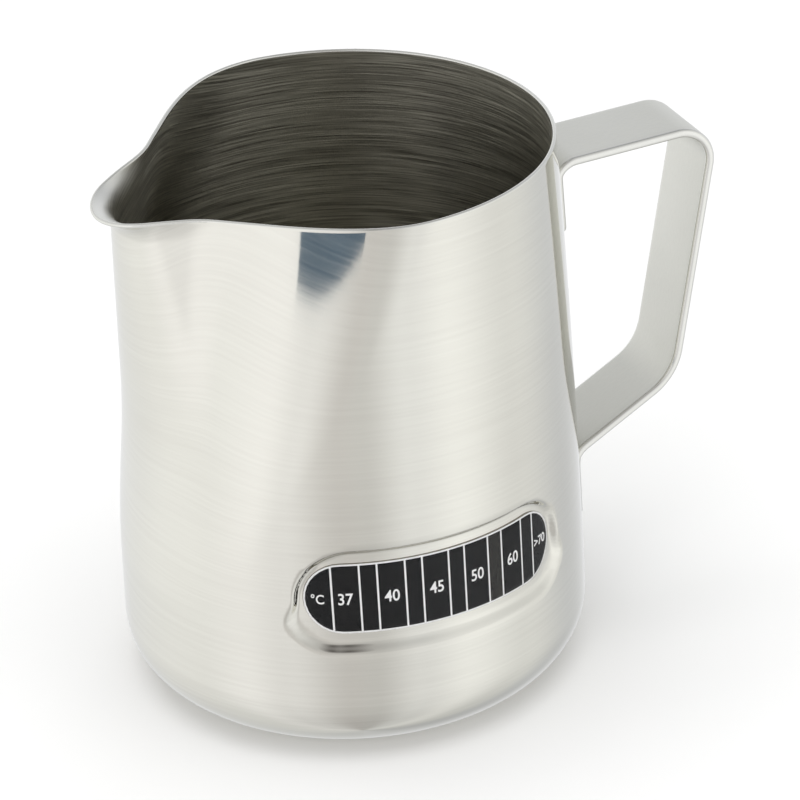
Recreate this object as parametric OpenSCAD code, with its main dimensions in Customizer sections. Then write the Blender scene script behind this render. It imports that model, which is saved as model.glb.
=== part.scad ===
// Milk frothing pitcher: a drawn stainless jug with a pressed pouring spout, a strap handle
// spot-welded to its wall and a liquid-crystal temperature strip in a pressed recess.
// Millimetres. The origin is on the jug's axis, in the plane that it stands on. The handle is
// along +X, the spout along -X and the strip faces -Y. Angles "from the spout" are measured
// round the axis from the -X half-plane, positive towards +Y.

/* [Jug body] */
// Height of the rim above the surface that the jug stands on
jug_height = 108; // [104:1:112]
// Outer diameter of the belly, where the jug is widest
belly_d = 90; // [88:0.5:92]
// Outer diameter of the mouth, away from the spout
mouth_d = 83.5; // [82:0.5:85]
// Thickness of the steel sheet
sheet = 0.8; // [0.6:0.1:1]
// Radius of the corner between base and wall
corner_r = 12; // [11:0.5:13]
// Share of the wall's taper that is a straight cone; the rest is a parabola
taper_straight = 0.48; // [0.3:0.02:0.7]
// Rise of the base's dished middle above the ring that it stands on
base_dish = 0.8; // [0.4:0.1:1.2]
// Radius of the base's dished middle
base_dish_r = 27; // [24:0.5:28]

/* [Spout] */
// Depth to which the mouth is drawn in on both sides of the spout
pinch_depth = 7.3; // [6:0.1:7.8]
// Height at which the drawn-in zone begins
pinch_start = 46; // [46:1:50]
// Height of the foot of the spout's raised tongue
tongue_foot = 50; // [48:1:54]
// Distance of the tongue's keel from the jug's axis, at its foot
keel_foot_r = 42.6; // [42:0.1:43]
// Outward lean of the keel, in mm for each mm of height
keel_lean = 0.004; // [0:0.001:0.01]
// Radius of the tongue's nose at the height of the rim
nose_rim_r = 11.7; // [10:0.1:13]
// Growth of the nose's radius for each mm down from the rim
nose_growth = 0.43; // [0.4:0.01:0.5]
// Angle of the tongue's flanks from the spout's plane
flank_angle = 42; // [40:1:45]
// Fall of the rim from the handle's side to the spout
rim_dip = 3.5; // [2:0.5:4]
// Length of sheet that is curled outwards as the pouring lip
lip_length = 5.7; // [5:0.1:6.2]
// Angle through which the lip is curled at the spout's tip
lip_curl = 98; // [80:1:105]

/* [Handle] */
// Width of the strap
strap_width = 16.6; // [15:0.2:18]
// Thickness of the strap
strap_t = 1.75; // [1.5:0.05:2]
// Height at which the strap's middle leaves the wall at the top
grip_top_z = 96; // [94:0.5:97]
// Distance of the top outer corner from the jug's axis
grip_top_x = 75.9; // [72:0.1:78]
// Distance of the bottom outer corner from the jug's axis
grip_low_x = 66.4; // [63:0.1:68]
// Height of the bottom outer corner
grip_low_z = 45.6; // [44:0.5:48]
// Height at which the strap's middle meets the wall at the bottom
grip_foot_z = 33.9; // [33:0.5:35]
// Bend radius of the strap's middle at the top outer corner
grip_top_bend = 6.5; // [5:0.5:8]
// Bend radius of the strap's middle at the bottom outer corner
grip_low_bend = 11.5; // [9:0.5:13]
// Diameter of a spot weld
weld_d = 3.6; // [3:0.2:4.4]

/* [Temperature strip] */
// Length of the strip, measured round the recess's floor
strip_length = 53.4; // [52:0.1:54]
// Height of the strip
strip_height = 14.5; // [13:0.1:15]
// Height of the strip's middle above the surface that the jug stands on
strip_z = 34.85; // [34:0.05:35]
// Depth of the pressed recess
recess_depth = 1.5; // [1.2:0.1:2]
// Width of a band that carries a number
number_band = 5.25; // [5:0.05:5.3]
// Width of a plain band between two numbers
plain_band = 3.3; // [3.1:0.05:3.3]
// Angle by which the strip and its recess are turned towards the handle
strip_turn = 1.2; // [0:0.1:2]
// Width of a printed line
print_line = 0.35; // [0.25:0.05:0.5]

/* [Hidden] */
$fn = 128;

belly_r = belly_d / 2;
mouth_r = mouth_d / 2;
base_r = belly_r - corner_r;
dish_ramp = 3;          // width of the slope between the dish and the standing ring

// The wall is round all the way about below the split, and on the handle's side above it
split = 46;
split_half_angle = 90;
wall_rows = 16;         // rows of facets from the split to the start of the lip
lip_rows = 5;           // rows of facets along the lip
fine_half_angle = 48;   // the facets are finer up to this angle from the spout
fine_steps = 14;
coarse_steps = 9;
base_rows = 6;          // cones in the round wall below the split

// The drawn-in zone widens with height, from the first angle at its start to the second at the rim
pinch_outer = [34, 88];
pinch_inner = [8, 39];
pinch_power = 0.8;
blend = 0.6;            // width over which the tongue and the drawn-in wall run together
dip_reach = 80;         // angle from the spout at which the rim stops falling
lip_reach = 34.5;        // angle from the spout at which the lip's curl ends
min_curl = 0.01;        // curl below this, in degrees, is taken as none
probe = 0.2;            // half step, in degrees, for the direction along the sheet
join_inset = 0.02;      // the spout's half is thinner than the round wall by this on each face

grip_rise = 1.2;        // rise of the strap from the wall to its top outer corner
wall_bend = 3;          // bend radius of the strap's middle where it turns down the wall
flange_length = 14;     // length of each flange below its bend
bend_steps = 10;        // chords in each bend of the strap
weld_offset = 4;        // distance of a weld from the strap's middle line
weld_drop = 9;          // distance of the welds below the strap's joint with the wall

recess_margin = 3.05;   // mean of the gaps over and under the strip, to the recess's side wall
recess_end = 0.6;       // gap at each end of the strip
recess_drop = 0.45;     // the recess's middle is this far below the strip's
arc_steps = 16;         // chords in each round end of the strip and the recess
adhesive_t = 0.1;
backing_t = 0.12;
ink_t = 0.06;
film_t = 0.12;
band_low = 22;          // heights between which the recess's floor is one cone
band_high = 48;
band_half_angle = 50;
reach = 60;             // length of the tools that cut across the wall

cells = 11;
first_divider = 5.4;    // from the strip's left end to the middle of the first divider

steel = "#cdccc6";
print_white = "#f1f1ee";
film_black = "#1d2024";
crystal_black = "#26292d";
clear_film = "#dfe4e6";
glue = "#cfc8a8";

function cell_name(i) = str("crystal_band_", i < 9 ? "0" : "", i + 1);
cell_names = [for (i = [0 : cells - 1]) cell_name(i)];

// ---- Shape of the jug's outer surface ----

function clamp01(t) = min(max(t, 0), 1);
function ease(t) = let (u = clamp01(t)) u * u * (3 - 2 * u);
function mix(a, b, t) = a + (b - a) * t;
function reversed(list) = [for (i = [len(list) - 1 : -1 : 0]) list[i]];

// Radius of the round wall: a cone and a parabola together, from the belly to the mouth
function wall_r(z) =
    let (u = (z - corner_r) / (jug_height - corner_r))
    belly_r - (belly_r - mouth_r) * (taper_straight * u + (1 - taper_straight) * u * u);

// Radius of the wall where it is drawn in on both sides of the spout
function pinched_r(psi, z) =
    let (t = clamp01((z - pinch_start) / (jug_height - pinch_start)),
         edge = mix(pinch_outer[0], pinch_outer[1], t),
         full = mix(pinch_inner[0], pinch_inner[1], t))
    wall_r(z) - pinch_depth * pow(t, pinch_power) * ease((edge - abs(psi)) / (edge - full));

// Radius of the spout's tongue: in plan a round nose between two straight flanks
function tongue_r(psi, z) =
    let (nose = nose_rim_r + nose_growth * (jug_height - z),
         centre = keel_foot_r + keel_lean * (z - tongue_foot) - nose,
         turn = 90 - flank_angle,
         a = abs(psi),
         nose_end = atan2(nose * sin(turn), centre + nose * cos(turn)))
    a <= nose_end
        ? centre * cos(a) + sqrt(nose * nose - pow(centre * sin(a), 2))
        : (centre * cos(turn) + nose) / cos(a - turn);

// The larger of two radii, rounded where they cross
function smooth_max(a, b) =
    let (h = max(blend - abs(a - b), 0) / blend)
    max(a, b) + h * h * blend / 4;

function body_r(psi, z) =
    abs(psi) < 90 - flank_angle ? smooth_max(tongue_r(psi, z), pinched_r(psi, z)) : pinched_r(psi, z);

// Height of the sheet's edge before the lip is curled, and of the line where the curl begins
function rim_z(psi) = jug_height - rim_dip * ease((dip_reach - abs(psi)) / dip_reach);
function lip_start(psi) = rim_z(psi) - lip_length;
function curl(psi) = abs(psi) < lip_reach ? lip_curl * (1 + cos(180 * psi / lip_reach)) / 2 : 0;

// A point of the curled edge, a length s past the start of the curl: [radius, height, turn]
function lip_point(psi, s) =
    let (turn = curl(psi) * s / lip_length,
         bend_r = curl(psi) > min_curl ? lip_length / (curl(psi) * PI / 180) : 0,
         z = lip_start(psi))
    curl(psi) > min_curl
        ? [body_r(psi, z + s) + bend_r * (1 - cos(turn)), z + bend_r * sin(turn), turn]
        : [body_r(psi, z + s), z + s, 0];

// Row i of the spout's half of the wall, counted up from the split: [radius, height, turn]
function row(psi, i) =
    let (z = mix(split, lip_start(psi), min(i, wall_rows) / wall_rows))
    i <= wall_rows
        ? [body_r(psi, z), z, 0]
        : lip_point(psi, lip_length * (i - wall_rows) / lip_rows);

function from_spout(p, psi) = [-p[0] * cos(psi), p[0] * sin(psi), p[1]];

// Outward direction in plan at a point of the sheet
function plan_normal(psi, i) =
    let (a = from_spout(row(psi - probe, i), psi - probe),
         b = from_spout(row(psi + probe, i), psi + probe),
         along = [b[0] - a[0], b[1] - a[1]])
    [-along[1], along[0]] / norm(along);

// A point of the sheet, a depth below the outer surface and square to it
function sheet_point(psi, i, depth) =
    let (n = plan_normal(psi, i), turn = row(psi, i)[2])
    from_spout(row(psi, i), psi) - depth * [n[0] * cos(turn), n[1] * cos(turn), -sin(turn)];

// Angles of the columns of facets, finer near the spout
function column(j) =
    abs(j) <= fine_steps
        ? fine_half_angle * j / fine_steps
        : sign(j) * mix(fine_half_angle, split_half_angle, (abs(j) - fine_steps) / coarse_steps);

// The spout's half of the wall: an outer and an inner grid of points, closed round the edges
module spout_half() {
    half = fine_steps + coarse_steps;
    rows = wall_rows + lip_rows;
    across = 2 * half + 1;
    size = across * (rows + 1);
    outer = [for (i = [0 : rows], j = [-half : half]) sheet_point(column(j), i, join_inset)];
    inner = [for (i = [0 : rows], j = [-half : half]) sheet_point(column(j), i, sheet - join_inset)];
    function at(i, j) = i * across + j + half;
    function strip(a, b) = [[b, a, a + size], [b, a + size, b + size]];
    skins = [for (i = [0 : rows - 1], j = [-half : half - 1])
        let (a = at(i, j), b = at(i, j + 1), c = at(i + 1, j + 1), d = at(i + 1, j))
        each [[a, b, c], [a, c, d], [a + size, c + size, b + size], [a + size, d + size, c + size]]];
    ends = [for (j = [-half : half - 1])
        each concat(strip(at(0, j), at(0, j + 1)), strip(at(rows, j + 1), at(rows, j)))];
    sides = [for (i = [0 : rows - 1])
        each concat(strip(at(i + 1, -half), at(i, -half)), strip(at(i, half), at(i + 1, half)))];
    polyhedron(concat(outer, inner), concat(skins, ends, sides));
}

// ---- The round parts of the jug ----

corner_steps = 9;
function corner_arc(r) =
    [for (i = [0 : corner_steps]) let (a = 90 * i / corner_steps)
        [base_r + r * sin(a), corner_r - r * cos(a)]];

low_levels = [for (i = [0 : base_rows]) mix(corner_r, split, i / base_rows)];

module base_profile() {
    polygon(concat(
        [[0, base_dish], [base_dish_r, base_dish], [base_dish_r + dish_ramp, 0]],
        corner_arc(corner_r),
        [for (i = [1 : base_rows]) [wall_r(low_levels[i]), low_levels[i]]],
        [for (i = [base_rows : -1 : 1]) [wall_r(low_levels[i]) - sheet, low_levels[i]]],
        reversed(corner_arc(corner_r - sheet)),
        [[base_dish_r + dish_ramp, sheet], [base_dish_r, base_dish + sheet], [0, base_dish + sheet]]));
}

// A slice of the wall's section between listed heights
module wall_profile(levels) {
    polygon(concat([for (z = levels) [wall_r(z), z]], [for (z = reversed(levels)) [wall_r(z) - sheet, z]]));
}

// A sweep of the child's section round the axis, centred on a heading
module sweep(half_angle, heading = 0) {
    rotate([0, 0, heading - half_angle]) rotate_extrude(angle = 2 * half_angle) children();
}

high_levels = [for (i = [0 : wall_rows + lip_rows]) row(180, i)[1]];

// The base and all of the wall that is round
module round_wall() {
    rotate_extrude() base_profile();
    sweep(180 - split_half_angle) wall_profile(high_levels);
}

// ---- The recess and the strip's layers ----

floor_r = wall_r(strip_z) - recess_depth;

// Outline with round ends, laid round the recess's floor and seen from the front
module strip_outline(length, height, middle = strip_z) {
    end_r = height / 2;
    straight = length / 2 - end_r;
    function wrapped(s) = floor_r * sin(s / floor_r * 180 / PI);
    right = [for (i = [0 : arc_steps]) let (a = -90 + 180 * i / arc_steps)
        [wrapped(straight + end_r * cos(a)), middle + end_r * sin(a)]];
    left = [for (p = right) [-p[0], 2 * middle - p[1]]];
    polygon(concat(right, left));
}

// The child's outline carried straight through the wall, along -Y turned a little towards the handle
module through_wall() {
    rotate([90, 0, strip_turn]) linear_extrude(reach) children();
}

// The layer between two depths below the outer surface, as a cone
module wall_layer(deep, shallow) {
    sweep(band_half_angle, -90) polygon([
        [wall_r(band_low) - deep, band_low], [wall_r(band_low) - shallow, band_low],
        [wall_r(band_high) - shallow, band_high], [wall_r(band_high) - deep, band_high]]);
}

module recess_solid(grow, deep, shallow) {
    intersection() {
        wall_layer(deep, shallow);
        through_wall() strip_outline(
            strip_length + 2 * (recess_end + grow), strip_height + 2 * (recess_margin + grow),
            strip_z - recess_drop);
    }
}

// One layer of the strip: its underside's height over the recess's floor, and its thickness
module strip_layer(over_floor, thickness) {
    intersection() {
        wall_layer(recess_depth - over_floor, recess_depth - over_floor - thickness);
        through_wall() children();
    }
}

// Distances of the dividers' middles from the strip's left end
function divider(i) = first_divider + ceil(i / 2) * number_band + floor(i / 2) * plain_band;
function across_strip(s) = floor_r * sin((s - strip_length / 2) / floor_r * 180 / PI);

module between(left, right) {
    translate([across_strip(left), strip_z - strip_height])
        square([across_strip(right) - across_strip(left), 2 * strip_height]);
}

module print_window() {
    strip_outline(strip_length - 2 * print_line, strip_height - 2 * print_line);
}

ink_level = adhesive_t + backing_t;

// ---- The strap's side view ----

function unit(v) = v / norm(v);
// The corner of a line through a, b and c when the line is moved a distance to its left
function moved_corner(a, b, c, side) =
    let (u = unit(b - a), v = unit(c - b), n = [-u[1], u[0]], m = [-v[1], v[0]])
    b + side * (n + m) / (1 + n * m);
// Chords of the arc that rounds the corner b
function rounded(a, b, c, r) =
    let (u = unit(a - b), v = unit(c - b),
         half = acos(u * v) / 2,
         centre = b + unit(u + v) * r / sin(half),
         start = b + u * r / tan(half) - centre,
         spin = sign(u[0] * v[1] - u[1] * v[0]) * (180 - 2 * half))
    [for (i = [0 : bend_steps]) let (a = -spin * i / bend_steps)
        centre + [start[0] * cos(a) - start[1] * sin(a), start[0] * sin(a) + start[1] * cos(a)]];

// Length of a straight that the rounding of corner b takes up
function bend_run(a, b, c, r) = r / tan(acos(unit(a - b) * unit(c - b)) / 2);

function beside_wall(z) = [wall_r(z) + strap_t / 2, z];
flange_top_end = grip_top_z - flange_length;
flange_low_end = grip_foot_z - flange_length;
top_corner_z = grip_top_z + grip_rise;
strap_path = [
    beside_wall(flange_top_end),
    beside_wall(grip_top_z),
    [grip_top_x, top_corner_z],
    [grip_low_x, grip_low_z],
    beside_wall(grip_foot_z),
    beside_wall(flange_low_end)];
strap_bends = [wall_bend, grip_top_bend, grip_low_bend, wall_bend];
top_bend_end = grip_top_z - bend_run(strap_path[0], strap_path[1], strap_path[2], wall_bend);
foot_bend_end = grip_foot_z - bend_run(strap_path[3], strap_path[4], strap_path[5], wall_bend);
// +1 where the strap's bend turns right along the path, -1 where it turns left
strap_turns = [1, 1, 1, -1];

// One face of the strap as a list of points: its bends rounded about the middle's centres
function strap_face(side) =
    let (moved = [for (i = [1 : 4]) moved_corner(strap_path[i - 1], strap_path[i], strap_path[i + 1], side)],
         first = strap_path[0] + side * [-1, 0],
         last = strap_path[5] + side * [1, 0],
         line = concat([first], moved, [last]))
    [for (i = [1 : 4])
        each rounded(line[i - 1], line[i], line[i + 1], strap_bends[i - 1] + strap_turns[i - 1] * side)];

// ---- Pieces ----

module jug_body() {
    color(steel) {
        difference() {
            round_wall();
            recess_solid(0, recess_depth, -recess_depth);
        }
        difference() {
            recess_solid(sheet, recess_depth + sheet, sheet / 3);
            recess_solid(0, recess_depth, -recess_depth);
        }
        spout_half();
    }
}

// The flange that lies against the round wall, between two heights
module flange(low, high) {
    intersection() {
        sweep(band_half_angle / 2) polygon([
            [wall_r(low), low], [wall_r(low) + strap_t, low],
            [wall_r(high) + strap_t, high], [wall_r(high), high]]);
        translate([0, -strap_width / 2, low]) cube([reach, strap_width, high - low]);
    }
}

// Two pins through a flange, side by side
module weld_pins(z) {
    for (side = [-1, 1])
        translate([wall_r(z) - strap_t, side * weld_offset, z])
            rotate([0, 90, 0]) cylinder(d = weld_d, h = 3 * strap_t, $fn = 48);
}

module handle_strap() {
    color(steel) difference() {
        union() {
            rotate([90, 0, 0]) linear_extrude(strap_width, center = true)
                polygon(concat(strap_face(strap_t / 2), reversed(strap_face(-strap_t / 2))));
            flange(flange_top_end, top_bend_end);
            flange(flange_low_end, foot_bend_end);
        }
        weld_pins(grip_top_z - weld_drop);
        weld_pins(grip_foot_z - weld_drop);
    }
}

module spot_welds(z) {
    low = z - weld_d;
    high = z + weld_d;
    intersection() {
        weld_pins(z);
        flange(low, high);
    }
}

module upper_spot_welds() { color(steel) spot_welds(grip_top_z - weld_drop); }

module lower_spot_welds() { color(steel) spot_welds(grip_foot_z - weld_drop); }

module strip_adhesive() {
    color(glue) strip_layer(0, adhesive_t) strip_outline(strip_length, strip_height);
}

module strip_backing() {
    color(film_black) strip_layer(adhesive_t, backing_t) strip_outline(strip_length, strip_height);
}

// White frame and dividers, printed in the same layer as the crystal bands
module scale_print() {
    color(print_white) strip_layer(ink_level, ink_t) union() {
        difference() {
            strip_outline(strip_length, strip_height);
            print_window();
        }
        intersection() {
            strip_outline(strip_length, strip_height);
            for (i = [0 : cells - 1]) between(divider(i) - print_line / 2, divider(i) + print_line / 2);
        }
    }
}

// The band to the right of divider i; the last one runs to the strip's round end
module crystal_band(i) {
    right = i < cells - 1 ? divider(i + 1) - print_line / 2 : strip_length;
    color(crystal_black) strip_layer(ink_level, ink_t) intersection() {
        print_window();
        between(divider(i) + print_line / 2, right);
    }
}

module cover_film() {
    color(clear_film) strip_layer(ink_level + ink_t, film_t) strip_outline(strip_length, strip_height);
}

jug_body();
handle_strap();
upper_spot_welds();
lower_spot_welds();
strip_adhesive();
strip_backing();
scale_print();
cover_film();
for (i = [0 : cells - 1])
    crystal_band(i);
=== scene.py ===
"""Looks of a milk frothing pitcher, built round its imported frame.

The jug is one drawn sheet of stainless steel with a pressed pouring spout and a pressed recess, the
handle is one bent strap, and a temperature strip lies in the recess. Sizes here are in millimetres and
are turned into metres when a mesh is made. The jug's axis is Z, the spout points along -X, the handle
along +X and the strip faces -Y. Angles named psi are degrees round the axis from the spout, positive
towards +Y.
"""

import logging
import math
from dataclasses import dataclass, field
from enum import Enum

import bmesh
import bpy
import numpy as np
from mathutils import Matrix, Vector


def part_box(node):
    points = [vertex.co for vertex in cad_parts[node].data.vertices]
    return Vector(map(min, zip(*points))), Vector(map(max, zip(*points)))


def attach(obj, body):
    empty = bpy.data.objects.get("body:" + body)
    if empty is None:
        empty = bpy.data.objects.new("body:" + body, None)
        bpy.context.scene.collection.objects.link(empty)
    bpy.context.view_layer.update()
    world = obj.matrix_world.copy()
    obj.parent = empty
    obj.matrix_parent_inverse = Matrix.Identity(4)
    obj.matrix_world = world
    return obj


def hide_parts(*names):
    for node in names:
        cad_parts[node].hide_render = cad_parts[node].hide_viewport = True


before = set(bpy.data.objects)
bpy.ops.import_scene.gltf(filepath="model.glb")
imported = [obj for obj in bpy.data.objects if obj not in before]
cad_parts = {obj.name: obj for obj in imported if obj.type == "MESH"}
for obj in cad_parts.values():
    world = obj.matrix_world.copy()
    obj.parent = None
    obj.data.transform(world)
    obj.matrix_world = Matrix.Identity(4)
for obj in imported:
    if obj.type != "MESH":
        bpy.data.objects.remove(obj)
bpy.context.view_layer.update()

LOG = logging.getLogger("pitcher")
MM = 0.001
BODY = "root"

Array = np.ndarray
Colour = tuple[float, float, float]
Output = bpy.types.NodeSocket


class Slot(Enum):
    """The record's material slots."""

    JUG = "jug_steel"
    STRAP = "strap_steel"
    WELD = "weld_metal"
    GLUE = "adhesive"
    FILM = "black_film"
    INK = "white_ink"
    CRYSTAL = "crystal_ink"
    CLEAR = "clear_film"


# ---------------------------------------------------------------- small shape formulas


def ease(t: Array | float) -> Array:
    """A smooth step: 0 below 0, 1 above 1, and 3t^2 - 2t^3 between.

    Args:
        t: Where along the step.

    Returns:
        The step's height, from 0 to 1.
    """
    u = np.clip(t, 0.0, 1.0)
    return u * u * (3 - 2 * u)


def smooth_max(a: Array, b: Array, width: float) -> Array:
    """The larger of two surfaces, rounded where they cross.

    The formula is max(a, b) plus h^2 width / 4, where h falls from 1 at the crossing to 0 where the two
    are a width apart.

    Args:
        a: One surface.
        b: The other surface.
        width: Difference at which the rounding ends.

    Returns:
        The joined surface.
    """
    h = np.maximum(width - np.abs(a - b), 0) / width
    return np.maximum(a, b) + h * h * width / 4


def unit(v: Array) -> Array:
    """The vectors along the last axis, each made one long."""
    return v / np.maximum(np.linalg.norm(v, axis=-1, keepdims=True), 1e-12)


def spread(start: float, end: float, count: int) -> Array:
    """Evenly spaced numbers from start up to, and without, end."""
    return np.linspace(start, end, count, endpoint=False)


# ---------------------------------------------------------------- meshes


@dataclass
class Skin:
    """A surface's points and faces, gathered before it becomes a mesh.

    Attributes:
        points: Points in millimetres, one row each.
        quads: Faces of four point numbers.
        triangles: Faces of three point numbers.
        quad_slots: The material number of each quad.
        quad_uv: Each quad's four places on the sheet, for the direction of the brushing.
        polish_and_highlight: Each point's share of polish, a smoother finish with a painted highlight, from 0
            to 1.
    """

    points: Array
    quads: Array
    triangles: Array
    quad_slots: Array | None = None
    quad_uv: Array | None = None
    polish_and_highlight: Array | None = None

    def to_object(self, name: str, finishes: list[bpy.types.Material]) -> bpy.types.Object:
        """Makes the mesh object, with its place in its mesh.

        Args:
            name: The piece's name.
            finishes: Its materials, in the order of the material numbers.

        Returns:
            The new object, linked to the scene.
        """
        mesh = bpy.data.meshes.new(name)
        corners = np.concatenate([self.quads.ravel(), self.triangles.ravel()]).astype(np.int32)
        sides = np.concatenate([np.full(len(self.quads), 4), np.full(len(self.triangles), 3)])
        starts = np.concatenate([[0], np.cumsum(sides)[:-1]]).astype(np.int32)
        mesh.vertices.add(len(self.points))
        mesh.vertices.foreach_set("co", (self.points * MM).astype(np.float32).ravel())
        mesh.loops.add(len(corners))
        mesh.loops.foreach_set("vertex_index", corners)
        mesh.polygons.add(len(sides))
        mesh.polygons.foreach_set("loop_start", starts)
        mesh.polygons.foreach_set("use_smooth", np.ones(len(sides), bool))
        for finish in finishes:
            mesh.materials.append(finish)
        if self.quad_slots is not None:
            slots = np.concatenate([self.quad_slots, np.zeros(len(self.triangles))]).astype(np.int32)
            mesh.polygons.foreach_set("material_index", slots)
        if self.quad_uv is not None:
            layer = mesh.uv_layers.new(name="Sheet")
            rest = np.zeros((len(self.triangles) * 3, 2))
            layer.data.foreach_set(
                "uv", np.concatenate([self.quad_uv.reshape(-1, 2), rest]).astype(np.float32).ravel()
            )
        if self.polish_and_highlight is not None:
            layer = mesh.attributes.new("polish_and_highlight", "FLOAT", "POINT")
            layer.data.foreach_set("value", self.polish_and_highlight.astype(np.float32))
        mesh.update(calc_edges=True)
        return added(name, mesh)


def added(name: str, data: bpy.types.ID) -> bpy.types.Object:
    """Puts a new object in the scene.

    Args:
        name: Its name.
        data: Its mesh, light, camera or curve.

    Returns:
        The object.
    """
    piece = bpy.data.objects.new(name, data)
    bpy.context.scene.collection.objects.link(piece)
    return piece


def ring_quads(rows: int, across: int) -> Array:
    """Quads between neighbouring rings of points, each ring closed on itself.

    Args:
        rows: Number of rings.
        across: Points in each ring.

    Returns:
        Point numbers, one quad a row, running ring by ring.
    """
    i, j = np.meshgrid(np.arange(rows - 1), np.arange(across), indexing="ij")
    low, high, k = i * across, (i + 1) * across, (j + 1) % across
    return np.stack([low + j, low + k, high + k, high + j], -1).reshape(-1, 4)


def fan(centre: int, ring: Array, outward: bool) -> Array:
    """Triangles from one point to a closed ring of points.

    Args:
        centre: The point's number.
        ring: The ring's point numbers, in order.
        outward: Whether the ring is taken in its own order.

    Returns:
        Point numbers, one triangle a row.
    """
    after = np.roll(ring, -1)
    pair = (ring, after) if outward else (after, ring)
    return np.stack([np.full(len(ring), centre), *pair], -1)


def merge_doubles(mesh: bpy.types.Mesh, near: float = 2e-7) -> None:
    """Merges points that lie together, which closes the seams between them.

    Args:
        mesh: The mesh that is changed.
        near: Distance in metres below which two points are one.
    """
    work = bmesh.new()
    work.from_mesh(mesh)
    bmesh.ops.remove_doubles(work, verts=work.verts, dist=near)
    work.to_mesh(mesh)
    work.free()


def settle(piece: bpy.types.Object, slot: Slot, *nodes: str) -> bpy.types.Object:
    """Gives a piece its body, and says which CAD nodes it stands for.

    Args:
        piece: The finished piece.
        slot: The record's material slot; not used.
        nodes: CAD nodes that it replaces.

    Returns:
        The same piece.
    """
    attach(piece, BODY)
    if nodes:
        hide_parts(*nodes)
    stands_for = ", ".join(nodes) or "nothing"
    LOG.info("%s: %d faces, stands for %s", piece.name, len(piece.data.polygons), stands_for)
    return piece


# ---------------------------------------------------------------- finishes


class Bench:
    """A node tree of a material or of the surroundings, with short calls to add nodes and join them."""

    def __init__(self, name: str, surroundings: bool = False) -> None:
        """Makes an empty tree with its output.

        Args:
            name: Name of the material, or of the surroundings.
            surroundings: Whether it is the scene's surroundings, and not a material.
        """
        self.material = (bpy.data.worlds if surroundings else bpy.data.materials).new(name)
        self.material.use_nodes = True
        self.tree = self.material.node_tree
        self.tree.nodes.clear()
        self.output = self.tree.nodes.new("ShaderNodeOutput" + ("World" if surroundings else "Material"))

    def add(self, kind: str, settings: dict | None = None, **sockets: object) -> bpy.types.Node:
        """Adds a node.

        Args:
            kind: The node's type, without its ShaderNode prefix.
            settings: Its own settings by name.
            sockets: Its inputs by name, spaces written as underscores. An output socket is joined to the
                input, and anything else is set on it.

        Returns:
            The new node.
        """
        node = self.tree.nodes.new("ShaderNode" + kind)
        for key, value in (settings or {}).items():
            setattr(node, key, value)
        for key, value in sockets.items():
            self.feed(node, key.replace("_", " "), value)
        return node

    def feed(self, node: bpy.types.Node, socket: str | int, value: object) -> None:
        """Joins an output to a node's input, or sets that input's value.

        Args:
            node: The node.
            socket: The input's name or number.
            value: An output to join, or a value to set.
        """
        target = node.inputs[socket]
        if isinstance(value, Output):
            self.tree.links.new(value, target)
        else:
            target.default_value = value

    def sum_up(self, operation: str, a: object, b: object, c: object = None) -> Output:
        """The output of a Math node on two or three values.

        Args:
            operation: Blender's name for the sum.
            a: First value or output.
            b: Second value or output.
            c: Third value or output, where the sum has one.

        Returns:
            The result's output.
        """
        node = self.add("Math", {"operation": operation})
        for place, value in enumerate((a, b, c)):
            if value is not None:
                self.feed(node, place, value)
        return node.outputs[0]

    def place(self) -> Output:
        """The object's own coordinates."""
        return self.add("TexCoord").outputs["Object"]

    def turned_place(self, along: float, across: float) -> Output:
        """Coordinates in which a noise is drawn out round the jug's axis.

        The first two are x and y times a small number, and the third is height plus distance from the
        axis, times a large one. So the noise changes slowly round the axis, and fast up the wall or
        outwards on the base.

        Args:
            along: Features per metre along the brushing.
            across: Features per metre across it.

        Returns:
            The coordinates' output.
        """
        split = self.add("SeparateXYZ", Vector=self.place())
        x, y, z = split.outputs
        flat = self.add("CombineXYZ", X=x, Y=y)
        radius = self.add("VectorMath", {"operation": "LENGTH"}, Vector=flat.outputs[0]).outputs["Value"]
        section = self.sum_up("ADD", z, radius)
        joined = self.add(
            "CombineXYZ",
            X=self.sum_up("MULTIPLY", x, along),
            Y=self.sum_up("MULTIPLY", y, along),
            Z=self.sum_up("MULTIPLY", section, across),
        )
        return joined.outputs[0]

    def noise(self, vector: Output, scale: float, detail: float, rough: float) -> Output:
        """The grey output of a noise texture.

        Args:
            vector: Where it is read.
            scale: Its scale.
            detail: Its octaves.
            rough: Strength of each octave beside the one before.

        Returns:
            A value mostly from 0.3 to 0.7.
        """
        return self.add("TexNoise", Vector=vector, Scale=scale, Detail=detail, Roughness=rough).outputs[0]

    def ranged(self, value: object, low: float, high: float, to_low: float, to_high: float) -> Output:
        """A value carried from one range to another, and held inside it.

        Args:
            value: The value or output.
            low: Where the first range begins.
            high: Where it ends.
            to_low: Where the second range begins.
            to_high: Where it ends.

        Returns:
            The result's output.
        """
        node = self.add("MapRange", Value=value, From_Min=low, From_Max=high, To_Min=to_low, To_Max=to_high)
        return node.outputs[0]

    def tinted(self, factor: object, first: Colour | Output, second: Colour) -> Output:
        """A colour between two.

        Args:
            factor: How far from the first to the second, from 0 to 1.
            first: The first colour, or an output that gives it.
            second: The second colour.

        Returns:
            The colour's output.
        """
        node = self.add("Mix", {"data_type": "RGBA"})
        self.feed(node, 0, factor)
        self.feed(node, 6, (*first, 1.0) if isinstance(first, tuple) else first)
        self.feed(node, 7, (*second, 1.0))
        return node.outputs[2]

    def finish(self, shader: Output) -> bpy.types.Material:
        """Joins the last shader to the output and returns the material."""
        self.tree.links.new(shader, self.output.inputs["Surface"])
        return self.material


class Brushing(Enum):
    """How the lines of a brushed sheet run."""

    ROUND = "round the axis"
    STRAIGHT = "along the strap"


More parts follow.
